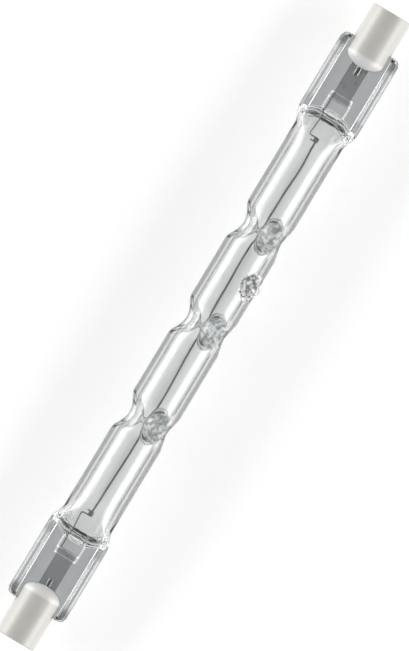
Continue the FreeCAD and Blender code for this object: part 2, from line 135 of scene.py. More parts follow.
# How the slack coil strays to the side along its length: place, sideways.
COIL_SAG = (
    (-COIL_END, 0.0), (-31.5, -0.13), (-22.7, -0.34), (-13.1, -0.38), (-3.4, -0.08), (6.2, 0.16),
    (12.6, 0.30), (23.9, -0.02), (30.0, -0.26), (33.6, -0.1), (COIL_END, 0.0))

# Caps and contacts
CAP_END = 58.8
CAP_RADIUS = 3.475
NOSE_EDGE = 50.5
NOSE_LENGTH = 1.9
HOLE_RADIUS = 0.8
RECESS_RADIUS = 2.3
SEAT_RADIUS = 1.85
CAP_EDGE = 0.26
SHARP_ANGLE = 0.35
CONTACT_FACE = 57.1
SEAT_FLOOR = 56.4
SHANK_END = 54.2
BUTTON_RADIUS = 1.8
BUTTON_EDGE = 0.14
SHANK_RADIUS = 0.75
SLOT_START = 45.0
SLOT_FLOOR = 52.82
SLOT_HALF = 1.12
SLOT_CUTTER_WIDTH = 9.0

# Colours. A pair is what a grain varies between.
CLEAR_QUARTZ = ((0.775, 0.785, 0.785), (0.81, 0.815, 0.815))
FLARED_QUARTZ = (0.715, 0.72, 0.72)
PINCHED_QUARTZ = ((0.30, 0.31, 0.315), (0.41, 0.42, 0.425))
STAMPED_QUARTZ = ((0.16, 0.18, 0.18), (0.74, 0.76, 0.76))
# White: the crust's own colour, and a painted highlight on the pinch's crease lines.
WHITE_CRUST_AND_PAINTED_HIGHLIGHT = (0.96, 0.965, 0.965)
RAIL_END = (0.17, 0.185, 0.18)
# Painted shade for glass walls that are seen edge on.
GRAZING_PAINTED_SHADE = (0.17, 0.175, 0.175)
CRUST_SPECK = (0.26, 0.265, 0.26)
QUARTZ_DEPTH = (0.5, 0.51, 0.51, 1)
CERAMIC = ((0.54, 0.525, 0.49), (0.49, 0.472, 0.435))
CERAMIC_GRAIN = (0.60, 0.595, 0.575)
CERAMIC_NOSE = (0.76, 0.765, 0.765)
CERAMIC_PIT = (0.42, 0.40, 0.36)
CEMENT = ((0.60, 0.585, 0.55), (0.86, 0.85, 0.82))
NICKEL = ((0.60, 0.57, 0.52), (0.83, 0.81, 0.77))
RUBBED_NICKEL = (0.45, 0.42, 0.37)
TUNGSTEN = ((0.10, 0.097, 0.094), (0.24, 0.235, 0.23))
WIRE_METAL = ((0.12, 0.12, 0.125), (0.27, 0.27, 0.28))
FOIL_METAL = ((0.52, 0.53, 0.535), (0.70, 0.71, 0.715))
METAL_STAIN = (0.12, 0.11, 0.10)
PAPER = ((0.50, 0.50, 0.50), (0.52, 0.52, 0.52))
PAPER_LIFT = ((0, 0, 0), (0.66, 0.66, 0.66))
ROOM_GLOW = ((0.05, 0.05, 0.05), (0.9, 0.9, 0.9))

# Studio, in metres. Each soft box has a name, a side, a glow, and its lowest and highest edge.
FLOOR_HALF_SIZE = 2.0
FLOOR_DROP = 0.00002
BOX_DISTANCE = 0.45
BOX_LENGTH = 1.0
SIDE_BOXES = (("left_box", 1, 6.4, 0.01, 0.27), ("right_box", -1, 5.8, 0.02, 0.31))

# Camera, straight above the bulb: how far the bulb leans in the picture, and where the picture's middle is.
PHOTO_LEAN = math.radians(31.07)
PICTURE_RIGHT = Vector((math.sin(PHOTO_LEAN), -math.cos(PHOTO_LEAN), 0))
PICTURE_UP = Vector((math.cos(PHOTO_LEAN), math.sin(PHOTO_LEAN), 0))
PICTURE_MIDDLE = PICTURE_RIGHT * 0.161 + PICTURE_UP * 0.225
CAMERA_DISTANCE = 1500
CAMERA_LENS = 515.8
CAMERA_SENSOR = 36


class Wire:
    """One node socket. Arithmetic on it adds Math nodes."""

    def __init__(self, finish, socket):
        self.finish = finish
        self.socket = socket

    def math(self, operation, first, second=0.0):
        return self.finish.node("ShaderNodeMath", {"operation": operation}, {0: first, 1: second})

    def __add__(self, other):
        return self.math("ADD", self, other)

    def __sub__(self, other):
        return self.math("SUBTRACT", self, other)

    def __rsub__(self, other):
        return self.math("SUBTRACT", other, self)

    def __mul__(self, other):
        return self.math("MULTIPLY", self, other)

    def __abs__(self):
        return self.math("ABSOLUTE", self)

    __radd__ = __add__
    __rmul__ = __mul__


class Finish:
    """The nodes of one material or of the world."""

    def __init__(self, tree):
        self.nodes = tree.nodes
        self.links = tree.links
        self.nodes.clear()

    def node(self, kind, settings=(), sockets=(), output=0):
        made = self.nodes.new(kind)
        for name, setting in dict(settings).items():
            setattr(made, name, setting)
        for name, given in dict(sockets).items():
            if isinstance(given, Wire):
                self.links.new(given.socket, made.inputs[name])
            else:
                made.inputs[name].default_value = given
        return Wire(self, made.outputs[output]) if made.outputs else None

    def place(self, stretch=(1, 1, 1)):
        """Where a point is on the bulb, in millimetres, with some directions stretched or squeezed."""
        spot = self.node("ShaderNodeTexCoord", output="Object")
        scale = [part / MILLIMETRE for part in stretch]
        return self.node("ShaderNodeMapping", {}, {
            "Vector": spot, "Scale": scale, "Location": (0, 0, -AXIS_HEIGHT * stretch[2])})

    def along(self, direction):
        return self.node("ShaderNodeSeparateXYZ", {}, {0: self.place()}, output="XYZ".index(direction))

    def grain(self, scale, detail, stretch=(1, 1, 1), rough=0.5):
        return self.node("ShaderNodeTexNoise", {}, {
            "Vector": self.place(stretch), "Scale": scale, "Detail": detail, "Roughness": rough})

    def cells(self, scale):
        return self.node("ShaderNodeTexVoronoi", {}, {"Vector": self.place(), "Scale": scale})

    def ease(self, given, low, high, first=0.0, last=1.0):
        """Goes smoothly from first to last while the given value goes from low to high."""
        return self.node("ShaderNodeMapRange", {"interpolation_type": "SMOOTHSTEP"}, {
            "Value": given, "From Min": low, "From Max": high, "To Min": first, "To Max": last})

    def line(self, given, middle, half_width=0.13):
        """A soft line where the given value is near its middle."""
        return self.ease(abs(given - middle), half_width * 0.4, half_width, 1.0, 0.0)

    def mix(self, factor, first, second):
        """One colour shading into another."""
        first, second = (part if isinstance(part, Wire) else (*part, 1) for part in (first, second))
        return self.node("ShaderNodeMix", {"data_type": "RGBA"}, {0: factor, 6: first, 7: second}, output=2)

    def bump(self, height, strength, distance):
        return self.node("ShaderNodeBump", {}, {
            "Height": height, "Strength": strength, "Distance": distance * MILLIMETRE})

    def attribute(self, name):
        return self.node("ShaderNodeAttribute", {"attribute_name": name}, {}, output=2)

    def surface(self, sockets):
        made = self.node("ShaderNodeBsdfPrincipled", {}, sockets)
        self.node("ShaderNodeOutputMaterial", {}, {"Surface": made})


def new_finish(name):
    material = bpy.data.materials.new(name)
    material.use_nodes = True
    return material, Finish(material.node_tree)


def pinch_crease_bumps_and_highlights(finish, reach, side, arc):
    """Soft lines where the pinch is creased: at the arched step, round the boss and along the rails. They
    bump the glass and mark where it gets a painted highlight.
    """
    on_boss = finish.ease(side, BOSS_HALF_WIDTH, BOSS_HALF_WIDTH + 0.2, 1, 0)
    by_boss = finish.ease(reach, BOSS_FOOT, BOSS_FOOT + 0.2, 1, 0)
    on_web = finish.ease(arc, PINCH_ARC - 0.2, PINCH_ARC + 0.1)
    by_rail = finish.ease(reach, PINCH_ARC + 0.4, PINCH_ARC + 1.4)
    step = finish.line(arc, PINCH_ARC, 0.3) + finish.line(arc, PINCH_ARC - 0.7, 0.25)
    boss_end = (finish.line(reach, BOSS_END) + finish.line(reach, BOSS_FOOT)) * on_boss
    boss_sides = finish.line(side, BOSS_HALF_WIDTH + 0.05) * by_boss * on_web
    rails = finish.line(side, WEB_HALF_WIDTH + 0.3, 0.34) * by_rail
    return step + boss_end + boss_sides + rails


def quartz_finish():
    """Clear quartz: greyer where it was pinched, stamped on the jaw marks, crusted at the exhaust tip, with
    a painted highlight on its crease lines and painted shade where its walls are seen edge on.
    """
    material, finish = new_finish("clear_quartz")
    reach = abs(finish.along("X"))
    side = abs(finish.along("Y"))
    arc = reach + side * side * (WEB_ARC_RISE / WEB_HALF_WIDTH ** 2)
    pinched = finish.ease(arc, PINCH_ARC - 0.1, PINCH_ARC + 0.5)
    stamped = finish.attribute("stamped")
    crusted = finish.attribute("crusted")
    crease_bumps_and_highlights = pinch_crease_bumps_and_highlights(finish, reach, side, arc)
    haze = finish.grain(0.35, 4)
    grit = finish.grain(3.2, 5, rough=0.65)
    press_lines = finish.grain(1.6, 3, stretch=(0.12, 1, 1))
    facets = finish.cells(1.8)

    # Clear glass is a little greyer in the flares, and grey in the pinch, whose rails end dark.
    clear = finish.mix(haze, *CLEAR_QUARTZ)
    clear = finish.mix(finish.ease(reach, *FLATTENING), clear, FLARED_QUARTZ)
    grey = finish.mix(haze * 0.6 + press_lines * 0.4, *PINCHED_QUARTZ)
    on_rail = finish.ease(side, WEB_HALF_WIDTH, WEB_HALF_WIDTH + 0.4)
    rail_ends = finish.ease(reach, PINCH_END - 3.0, PINCH_END - 1.5) * on_rail
    colour = finish.mix(pinched, clear, finish.mix(rail_ends, grey, RAIL_END))
    # The crease lines get a painted highlight: white lines where the glass would reflect the soft boxes.
    colour = finish.mix(crease_bumps_and_highlights * (1 - rail_ends), colour, WHITE_CRUST_AND_PAINTED_HIGHLIGHT)

    # The jaw marks are blotchy, and the exhaust tip's crust is speckled.
    blotches = finish.ease(finish.grain(1.5, 4, rough=0.6), 0.40, 0.60)
    stamp = finish.mix(blotches, *STAMPED_QUARTZ)
    colour = finish.mix(stamped * 0.9, colour, stamp)
    specks = finish.ease(facets, 0.46, 0.66)
    crust = finish.mix(specks, WHITE_CRUST_AND_PAINTED_HIGHLIGHT, CRUST_SPECK)
    colour = finish.mix(crusted, colour, crust)

    # Walls that are seen edge on are painted darker, a painted shade for the dark edges that glass shows,
    # though less on the marks, on the crust and at the chamber's ends.
    facing = finish.node("ShaderNodeLayerWeight", {}, {"Blend": 0.5}, output="Facing")
    by_chamber_end = finish.line(arc, PINCH_ARC - 0.9, 1.6)
    grazing_painted_shade = finish.ease(facing, 0.35, 0.54) * (1 - stamped * 0.8) * (1 - crusted * 0.4)
    colour = finish.mix(grazing_painted_shade * (1 - by_chamber_end * 0.7), colour, GRAZING_PAINTED_SHADE)

    roughness = 0.004 + pinched * (0.02 + grit * 0.05) + stamped * (0.35 + grit * 0.3) + crusted * 0.05
    relief = haze * 0.5 + pinched * (grit * 0.10 + press_lines * 0.12) + crease_bumps_and_highlights * 0.5
    relief = relief + stamped * grit * 3 + crusted * facets * 7
    dents = finish.bump(relief, 0.35, 0.12)
    glass = finish.node("ShaderNodeBsdfPrincipled", {}, {
        "Base Color": colour, "Roughness": roughness, "IOR": 1.458, "Transmission Weight": 1.0,
        "Normal": dents})
    frost = finish.node("ShaderNodeBsdfPrincipled", {}, {
        "Base Color": finish.mix(stamped, crust, stamp), "Roughness": 0.3, "Normal": dents})
    frosted = crusted * 0.7 + stamped * 0.35
    skin = finish.node("ShaderNodeMixShader", {}, {0: frosted, 1: glass, 2: frost})
    depth = finish.node("ShaderNodeVolumeAbsorption", {}, {"Color": QUARTZ_DEPTH, "Density": 20.0})
    finish.node("ShaderNodeOutputMaterial", {}, {"Surface": skin, "Volume": depth})
    return material


def metal_finish(name, colours, rough, lines):
    """A drawn or rolled metal: fine lines along the bulb, uneven shine and some dull stains."""
    material, finish = new_finish(name)
    streaks = finish.grain(lines, 4, stretch=(0.06, 1, 1))
    spread = finish.grain(0.9, 5, rough=0.6)
    specks = finish.grain(9, 2)
    colour = finish.mix(streaks * 0.6 + specks * 0.4, *colours)
    stains = finish.ease(spread, 0.52, 0.72) * 0.25
    finish.surface({
        "Base Color": finish.mix(stains, colour, METAL_STAIN), "Metallic": 1.0,
        "Roughness": rough + streaks * 0.16 + stains * 0.4,
        "Normal": finish.bump(streaks * 0.7 + specks * 0.3, 0.3, 0.02)})
    return material


def ceramic_finish():
    """White steatite: a tight dull grain with fine pits, a little warmer in patches, and a whiter nose."""
    material, finish = new_finish("white_ceramic")
    cloud = finish.grain(0.35, 4)
    grain = finish.grain(7, 4, rough=0.7)
    pits = finish.ease(finish.cells(4.5), 0.0, 0.16, 1.0, 0.0)
    body = finish.mix(cloud, *CERAMIC)
    colour = finish.mix(grain * 0.35, body, CERAMIC_GRAIN)
    nose = finish.ease(abs(finish.along("X")), NOSE_EDGE - 0.2, NOSE_EDGE + 0.3, 0.65, 0.0)
    colour = finish.mix(nose, colour, CERAMIC_NOSE)
    finish.surface({
        "Base Color": finish.mix(pits * 0.35, colour, CERAMIC_PIT),
        "Roughness": 0.27 + grain * 0.16 + pits * 0.2, "Specular IOR Level": 0.5,
        "Normal": finish.bump(grain * 0.5 - pits * 0.8, 0.35, 0.03)})
    return material


def cement_finish():
    """Sandy off-white cement."""
    material, finish = new_finish("cap_cement")
    sand = finish.grain(11, 5, rough=0.75)
    lumps = finish.grain(2.2, 3)
    finish.surface({
        "Base Color": finish.mix(sand * 0.7 + lumps * 0.3, *CEMENT),
        "Roughness": 0.82 + sand * 0.15,
        "Normal": finish.bump(sand * 0.7 + lumps * 0.5, 0.7, 0.06)})
    return material


def contact_finish():
    """Turned nickel: rings round the bulb's axis, and a dull rubbed spot in the middle."""
    material, finish = new_finish("nickel_contact")
    across, up = finish.along("Y"), finish.along("Z")
    radius = across.math("SQRT", across * across + up * up)
    rings = finish.node("ShaderNodeTexNoise", {"noise_dimensions": "1D"}, {
        "W": radius, "Scale": 14.0, "Detail": 4.0})
    spread = finish.grain(1.3, 4)
    rubbed = finish.ease(radius + spread * 0.5, 0.4, 1.3, 1.0, 0.0)
    colour = finish.mix(rings * 0.6 + spread * 0.4, *NICKEL)
    finish.surface({
        "Base Color": finish.mix(rubbed * 0.35, colour, RUBBED_NICKEL), "Metallic": 1.0,
        "Roughness": 0.2 + rings * 0.15 + rubbed * 0.15,
        "Normal": finish.bump(rings, 0.3, 0.03)})
    return material


def eased(share):
    """A share between nought and one that starts and ends gently."""
    share = min(1.0, max(0.0, share))
    return share * share * (3 - 2 * share)


def progress(place, stretch):
    """How far a place is along a stretch, starting and ending gently."""
    return eased((place - stretch[0]) / (stretch[1] - stretch[0]))


def softer_min(first, second, blend):
    """The smaller of two lengths, with the crease between them rounded off."""
    share = min(1.0, max(0.0, 0.5 + 0.5 * (second - first) / blend))
    return second + (first - second) * share - blend * share * (1 - share)


def softer_max(first, second, blend):
    return -softer_min(-first, -second, blend)


def stations(end, step_at):
    """Places along the axis, close together where the shape changes fast."""
    places = [-end]
    while places[-1] + step_at(places[-1]) < end - 0.05:
        places.append(places[-1] + step_at(places[-1]))
    return places + [end]


def skin_step(place):
    """How far apart the rings of the outer skin are."""
    reach = abs(place)
    nearest_waist = min(abs(place - waist) for waist in WAISTS)
    if PLAIN_WEB[0] < reach < PLAIN_WEB[1]:
        return SKIN_STEPS["web"]
    if reach > FLATTENING[1]:
        return SKIN_STEPS["pinch"]
    if reach > FLATTENING[0]:
        return SKIN_STEPS["flare"]
    if nearest_waist < SKIN_WAIST_REACH:
        return SKIN_STEPS["waist"]
    if abs(place - EXHAUST_PLACE) < EXHAUST_RADIUS + 0.5:
        return SKIN_STEPS["exhaust"]
    return SKIN_STEPS["tube"]


def chamber_step(place):
    """How far apart the rings of the chamber's wall are."""
    nearest_waist = min(abs(place - waist) for waist in WAISTS)
    if abs(place) > FLATTENING[0]:
        return CHAMBER_STEPS["flare"]
    return CHAMBER_STEPS["waist" if nearest_waist < CHAMBER_WAIST_REACH else "tube"]


def long_tube(sides, places, marks=()):
    """A closed tube with a ring at each place, and each vertex with its place and angle.

    Each mark is a named layer of the mesh that is painted later.
    """
    mesh = bmesh.new()
    for mark in marks:
        mesh.verts.layers.float.new(mark)
    bmesh.ops.create_cone(mesh, cap_ends=True, segments=sides, radius1=1, radius2=1, depth=1)
    long_edges = [edge for edge in mesh.edges if abs(edge.verts[0].co.z - edge.verts[1].co.z) > 0.5]
    bmesh.ops.subdivide_edges(mesh, edges=long_edges, cuts=len(places) - 2)
    spots = []
    for vertex in mesh.verts:
        ring = round((vertex.co.z + 0.5) * (len(places) - 1))
        spots.append((vertex, places[ring], math.atan2(vertex.co.y, vertex.co.x)))
    return mesh, spots


def jaw_share(off, angle, half_length, half_angle):
    """How deep in a jaw's rounded mark a point is: one at its middle, nought at its rim, less outside."""
    turn = min(abs((angle - jaw + math.pi) % (2 * math.pi) - math.pi) for jaw in JAWS)
    return 1 - (off / half_length) ** 2 - (turn / half_angle) ** 2


def pinch_height(reach, across):
    """The pinch's height at a point seen from above: rails, web, boss and the arch at the chamber."""
    side = abs(across)
    corner = min(1.0, max(0.0, (side - PINCH_HALF_WIDTH + PINCH_CORNER) / PINCH_CORNER))
    rail = PINCH_HALF_THICKNESS - PINCH_CORNER * (1 - math.sqrt(1 - corner * corner))
    slope = softer_max(0.0, side - WEB_HALF_WIDTH, blend=0.12) * RAIL_WALL_RISE
    boss = BOSS_HEIGHT * (1 - eased((side - BOSS_HALF_WIDTH + 0.1) / 0.25))
    boss *= min(1.0, max(0.0, (BOSS_FOOT - reach) / (BOSS_FOOT - BOSS_END)))
    web = WEB_HALF_THICKNESS + softer_max(slope, boss, blend=0.1)
    arc = PINCH_ARC - WEB_ARC_RISE * min(1.0, side / WEB_HALF_WIDTH) ** 2
    flat = softer_min(rail, web, blend=0.2)
    return softer_max(flat, flat + (arc - reach) * ARC_WALL_RISE, blend=0.25)


def pinch_outline(angle):
    """A point of the pinch's plain rounded section, shared out so that the rails get their full detail."""
    quarter = abs(math.atan2(abs(math.sin(angle)), abs(math.cos(angle)))) / (math.pi / 2)
    straight = PINCH_HALF_THICKNESS - PINCH_CORNER
    inner = PINCH_HALF_WIDTH - PINCH_CORNER
    rail_from = EDGE_SHARE + CORNER_SHARE
    web_from = rail_from + RAIL_SHARE
    across, up = inner, PINCH_HALF_THICKNESS
    if quarter < EDGE_SHARE:
        across, up = PINCH_HALF_WIDTH, straight * quarter / EDGE_SHARE
    elif quarter < rail_from:
        turn = (quarter - EDGE_SHARE) / CORNER_SHARE * math.pi / 2
        across, up = inner + PINCH_CORNER * math.cos(turn), straight + PINCH_CORNER * math.sin(turn)
    elif quarter < web_from:
        across = inner - (quarter - rail_from) / RAIL_SHARE * RAIL_TOP_WIDTH
    else:
        across = (inner - RAIL_TOP_WIDTH) * (1 - (quarter - web_from) / (1 - web_from))
    return math.copysign(across, math.cos(angle)), math.copysign(up, math.sin(angle))


def exhaust_swell(place, angle):
    """How far the melted exhaust stub stands out of the tube, and how crusted it is there."""
    turn = (angle - EXHAUST_ANGLE + math.pi) % (2 * math.pi) - math.pi
    if abs(turn) > EXHAUST_HALF_ANGLE:
        return 0.0, 0.0
    side = TUBE_RADIUS * math.sin(turn)
    away = math.hypot(place - EXHAUST_PLACE, side)
    body = 1 - progress(away, (EXHAUST_TOP_RADIUS, EXHAUST_RADIUS))
    lumps = noise.noise(Vector((place, side, 0.3)) * 1.9)
    facets = noise.voronoi(Vector((place, side, 1.7)) * 1.7)[0][0]
    crust = 1 - eased((away - EXHAUST_RADIUS + 0.3) / 0.4)
    height = EXHAUST_HEIGHT * body - crust * (0.15 * abs(lumps) + 0.4 * min(0.8, facets))
    return height, crust


def outer_skin():
    """The tube's outside: waists with their jaw marks, the exhaust tip, and the flare into each pinch."""
    mesh, spots = long_tube(TUBE_SIDES, stations(PINCH_END, skin_step), ("stamped", "crusted"))
    stamped = mesh.verts.layers.float["stamped"]
    crusted = mesh.verts.layers.float["crusted"]
    for vertex, place, angle in spots:
        reach = abs(place)
        waist = min(WAISTS, key=lambda centre: abs(place - centre))
        off = abs(place - waist)
        neck = NECK_DEPTH * (1 - eased(off / NECK_HALF_LENGTH))
        share = jaw_share(off, angle, DIMPLE_HALF_LENGTH, DIMPLE_HALF_ANGLE)
        dimpled = TUBE_RADIUS - neck * 0.5 - DIMPLE_DEPTH * share
        radius = softer_min(TUBE_RADIUS - neck, dimpled, blend=0.9)
        vertex[stamped] = eased(share * 4 + 0.3)
        swell, vertex[crusted] = exhaust_swell(place, angle)
        across = (radius + swell) * math.cos(angle)
        up = (radius + swell) * math.sin(angle)
        if reach > FLATTENING[0]:
            flat, formed = progress(reach, FLATTENING), progress(reach, WIDENING)
            wide, thick = pinch_outline(angle)
            pressed = progress(reach, (WIDENING[1], WIDENING[1] + 0.6))
            thick *= 1 + (1 - pressed) * (FLARE_HALF_HEIGHT / PINCH_HALF_THICKNESS - 1)
            up *= 1 + flat * (FLARE_HALF_HEIGHT / TUBE_RADIUS - 1)
            across += (wide - across) * formed
            up += (thick - up) * formed
            up = math.copysign(softer_min(abs(up), pinch_height(reach, across), blend=0.15), up)
            into_end = max(0.0, reach - PINCH_END + PINCH_END_CORNER) / PINCH_END_CORNER
            across *= 1 - PINCH_END_CORNER / PINCH_HALF_WIDTH * (1 - math.sqrt(max(0.0, 1 - into_end ** 2)))
        vertex.co = (place, across, up)
    return mesh


def chamber_skin(mesh):
    """The gas chamber: the bore, the throats between the jaws and the flat ends, facing inwards."""
    hollow, spots = long_tube(BORE_SIDES, stations(CHAMBER_END, chamber_step))
    for vertex, place, angle in spots:
        waist = min(WAISTS, key=lambda centre: abs(place - centre))
        off = abs(place - waist)
        share = jaw_share(off, angle, BULGE_HALF_LENGTH, BULGE_HALF_ANGLE)
        throat = THROAT_DEPTH * (1 - eased(off / NECK_HALF_LENGTH))
        bulged = BORE_RADIUS - throat * 0.5 - BULGE_DEPTH * share
        radius = softer_min(BORE_RADIUS - throat, bulged, blend=0.5)
        across, up = radius * math.cos(angle), radius * math.sin(angle)
        flat, formed = progress(abs(place), FLATTENING), progress(abs(place), WIDENING)
        into_dome = max(0.0, abs(place) - CHAMBER_END + CHAMBER_DOME) / CHAMBER_DOME
        dome = math.sqrt(max(0.02, 1 - into_dome ** 2))
        across *= 1 + formed * (CHAMBER_HALF_WIDTH / BORE_RADIUS - 1)
        up *= (1 + flat * (CHAMBER_HALF_HEIGHT / BORE_RADIUS - 1)) * dome
        arc = WEB_ARC_RISE * (across / WEB_HALF_WIDTH) ** 2 * formed
        vertex.co = (math.copysign(abs(place) - arc, place), across, up)
    bmesh.ops.reverse_faces(hollow, faces=hollow.faces)
    for _, turn in ENDS:
        middle = Matrix.Translation(((CHANNEL_START + CHANNEL_END) / 2, 0, 0))
        tunnel = bmesh.ops.create_cone(
            hollow, cap_ends=True, segments=24, radius1=CHANNEL_RADIUS, radius2=CHANNEL_RADIUS,
            depth=CHANNEL_END - CHANNEL_START,
            matrix=Matrix.Rotation(turn, 4, "Y") @ middle @ Matrix.Rotation(math.pi / 2, 4, "Y"))
        walls = {face for vertex in tunnel["verts"] for face in vertex.link_faces}
        bmesh.ops.reverse_faces(hollow, faces=list(walls))
    inside = bpy.data.meshes.new("chamber")
    hollow.to_mesh(inside)
    hollow.free()
    mesh.from_mesh(inside)
    bpy.data.meshes.remove(inside)


def piece(mesh, name, material, node, crease=40):
    """Puts a finished mesh in its place on the bulb, in metres, where it stands for its solid."""
    bmesh.ops.translate(mesh, verts=mesh.verts, vec=(0, 0, AXIS_HEIGHT))
    bmesh.ops.scale(mesh, verts=mesh.verts, vec=(MILLIMETRE,) * 3)
    data = bpy.data.meshes.new(name)
    mesh.to_mesh(data)
    mesh.free()
    data.shade_smooth()
    data.set_sharp_from_angle(angle=math.radians(crease))
    data.materials.append(material)
    thing = bpy.data.objects.new(name, data)
    bpy.context.scene.collection.objects.link(thing)
    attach(thing, "root")
    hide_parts(node)


def quartz_envelope(material):
    mesh = outer_skin()
    chamber_skin(mesh)
    piece(mesh, "quartz_tube", material, "quartz_envelope", crease=50)


def edges_of(geometry):
    return [part for part in geometry if isinstance(part, bmesh.types.BMEdge)]


def ring_verts(ring):
    """The corners of a ring of edges, each once and always in the same order."""
    return list(dict.fromkeys(vertex for edge in ring for vertex in edge.verts))


def drawn_on(mesh, ring, vector):
    """Draws the open end of a wire on in a straight line."""
    made = bmesh.ops.extrude_edge_only(mesh, edges=ring)["geom"]
    verts = [part for part in made if isinstance(part, bmesh.types.BMVert)]
    bmesh.ops.translate(mesh, verts=verts, vec=vector)
    return [edge for edge in edges_of(made) if all(vertex in verts for vertex in edge.verts)]


def wound_on(mesh, ring, centre, axis, angle, steps, advance=0.0):
    """Turns the open end of a wire about an axis, while it may advance along X."""
    made = bmesh.ops.spin(
        mesh, geom=ring_verts(ring) + ring, cent=centre, axis=axis, angle=angle, steps=steps,
        dvec=(advance / steps, 0, 0))
    return edges_of(made["geom_last"])


def wire_start(mesh, radius, sides, place, axis):
    """An open ring of a wire, tipped upright about an axis."""
    bmesh.ops.create_circle(
        mesh, segments=sides, radius=radius,
        matrix=Matrix.Translation(place) @ Matrix.Rotation(math.pi / 2, 4, axis))
    return list(mesh.edges)


def close_wire(mesh):
    """Fills both open ends of a wire."""
    bmesh.ops.holes_fill(mesh, edges=mesh.edges, sides=0)
    bmesh.ops.recalc_face_normals(mesh, faces=mesh.faces)


def turn_to_end(mesh, turn):
    """Turns a shape that was made for the right end to the end where it belongs."""
    bmesh.ops.rotate(mesh, verts=mesh.verts, cent=(0, 0, 0), matrix=Matrix.Rotation(turn, 3, "Y"))


def coil_sag(place):
    """How far the coil strays to the side at a place."""
    for (start, first), (end, last) in zip(COIL_SAG, COIL_SAG[1:]):
        if place <= end:
            return first + (last - first) * eased((place - start) / (end - start))
    return COIL_SAG[-1][1]


def filament(material):
    """A coil, wound for one stretch that is then repeated along the axis, and left to sag."""
    mesh = bmesh.new()
    start = -COIL_END + COIL_WIRE
    ring = wire_start(mesh, COIL_WIRE, 6, (start, 0, COIL_RADIUS), "X")
    stretch = -2 * start / COIL_STRETCHES
    turns = round(stretch / COIL_PITCH)
    wound_on(mesh, ring, (0, 0, 0), (1, 0, 0), 2 * math.pi * turns, 10 * turns, stretch)
    first = list(mesh.verts) + list(mesh.edges) + list(mesh.faces)
    for count in range(1, COIL_STRETCHES):
        copy = bmesh.ops.duplicate(mesh, geom=first)["geom"]
        verts = [part for part in copy if isinstance(part, bmesh.types.BMVert)]
        bmesh.ops.translate(mesh, verts=verts, vec=(stretch * count, 0, 0))
    bmesh.ops.remove_doubles(mesh, verts=mesh.verts, dist=0.002)
    close_wire(mesh)
    for vertex in mesh.verts:
        sag = coil_sag(vertex.co.x)
        vertex.co += Vector((0, sag, -COIL_SINKS * abs(sag)))
    piece(mesh, "filament_coil", material, "filament", crease=80)


def inner_lead(side, turn, material):
    """One wire from the foil: a run, a bend, turns round the coil's end and a free tail."""
    mesh = bmesh.new()
    ring = wire_start(mesh, LEAD_WIRE, 10, (LEAD_START, LEAD_OFFSET, LEAD_HEIGHT), "Y")
    bend_start = COIL_END - LEAD_WIRE + LEAD_BEND
    bend_across = LEAD_OFFSET + LEAD_SPLAY - LEAD_BEND
    slant = (bend_start - LEAD_LEAVES_PINCH, LEAD_SPLAY, -WINDING_RADIUS - LEAD_HEIGHT)
    ring = drawn_on(mesh, ring, (LEAD_LEAVES_PINCH - LEAD_START, 0, 0))
    ring = drawn_on(mesh, ring, slant)
    ring = wound_on(mesh, ring, (bend_start, bend_across, -WINDING_RADIUS), (0, 0, 1), math.pi / 2, 8)
    ring = drawn_on(mesh, ring, (0, -bend_across, 0))
    ring = wound_on(
        mesh, ring, (0, 0, 0), (-1, 0, 0), 2 * math.pi * WINDING_TURNS, round(20 * WINDING_TURNS),
        -WINDING_PITCH * WINDING_TURNS)
    drawn_on(mesh, ring, (0, TAIL_LENGTH, 0))
    close_wire(mesh)
    turn_to_end(mesh, turn)
    piece(mesh, f"wound_lead_{side}", material, f"inner_lead_{side}", crease=60)


def sealing_foil(side, material):
    """Rolled foil, etched to a feather edge along both sides."""
    low, high = (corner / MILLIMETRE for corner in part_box(f"sealing_foil_{side}"))
    middle = (low + high) / 2 - Vector((0, 0, AXIS_HEIGHT))
    size = high - low
    mesh = bmesh.new()
    bmesh.ops.create_cube(mesh, size=1)
    for direction, cuts in ((0, 31), (1, 15)):
        edges = [edge for edge in mesh.edges
                 if abs(edge.verts[0].co[direction] - edge.verts[1].co[direction]) > 0.9]
        bmesh.ops.subdivide_edges(mesh, edges=edges, cuts=cuts, use_grid_fill=True)
    for vertex in mesh.verts:
        feather = 1 - 0.85 * abs(2 * vertex.co.y) ** 3
        vertex.co = middle + Vector((
            vertex.co.x * size.x, vertex.co.y * size.y, vertex.co.z * size.z * feather))
    piece(mesh, f"foil_{side}", material, f"sealing_foil_{side}")


def turned_shape(outline, steps=96):
    """Spins a closed outline of places and radii about the bulb's axis."""
    mesh = bmesh.new()
    corners = [mesh.verts.new((place, radius, 0)) for place, radius in outline]
    edges = [mesh.edges.new(pair) for pair in zip(corners, corners[1:] + corners[:1])]
    bmesh.ops.spin(
        mesh, geom=corners + edges, cent=(0, 0, 0), axis=(1, 0, 0), angle=2 * math.pi, steps=steps,
        use_merge=True)
    bmesh.ops.remove_doubles(mesh, verts=mesh.verts, dist=0.001)
    on_axis = [edge for edge in mesh.edges if not edge.link_faces]
    bmesh.ops.delete(mesh, geom=on_axis, context="EDGES")
    bmesh.ops.recalc_face_normals(mesh, faces=mesh.faces)
    return mesh


def soften_rims(mesh, beyond, width, segments):
    """Rounds the sharp edges of a turned shape that lie further out than a radius."""
    between_faces = [edge for edge in mesh.edges if len(edge.link_faces) == 2]
    sharp = [edge for edge in between_faces if edge.calc_face_angle() > SHARP_ANGLE]
    rims = [edge for edge in sharp if all(vertex.co.yz.length > beyond for vertex in edge.verts)]
    bmesh.ops.bevel(
        mesh, geom=rims, offset=width, segments=segments, profile=0.5, affect="EDGES", material=-1,
        clamp_overlap=True)


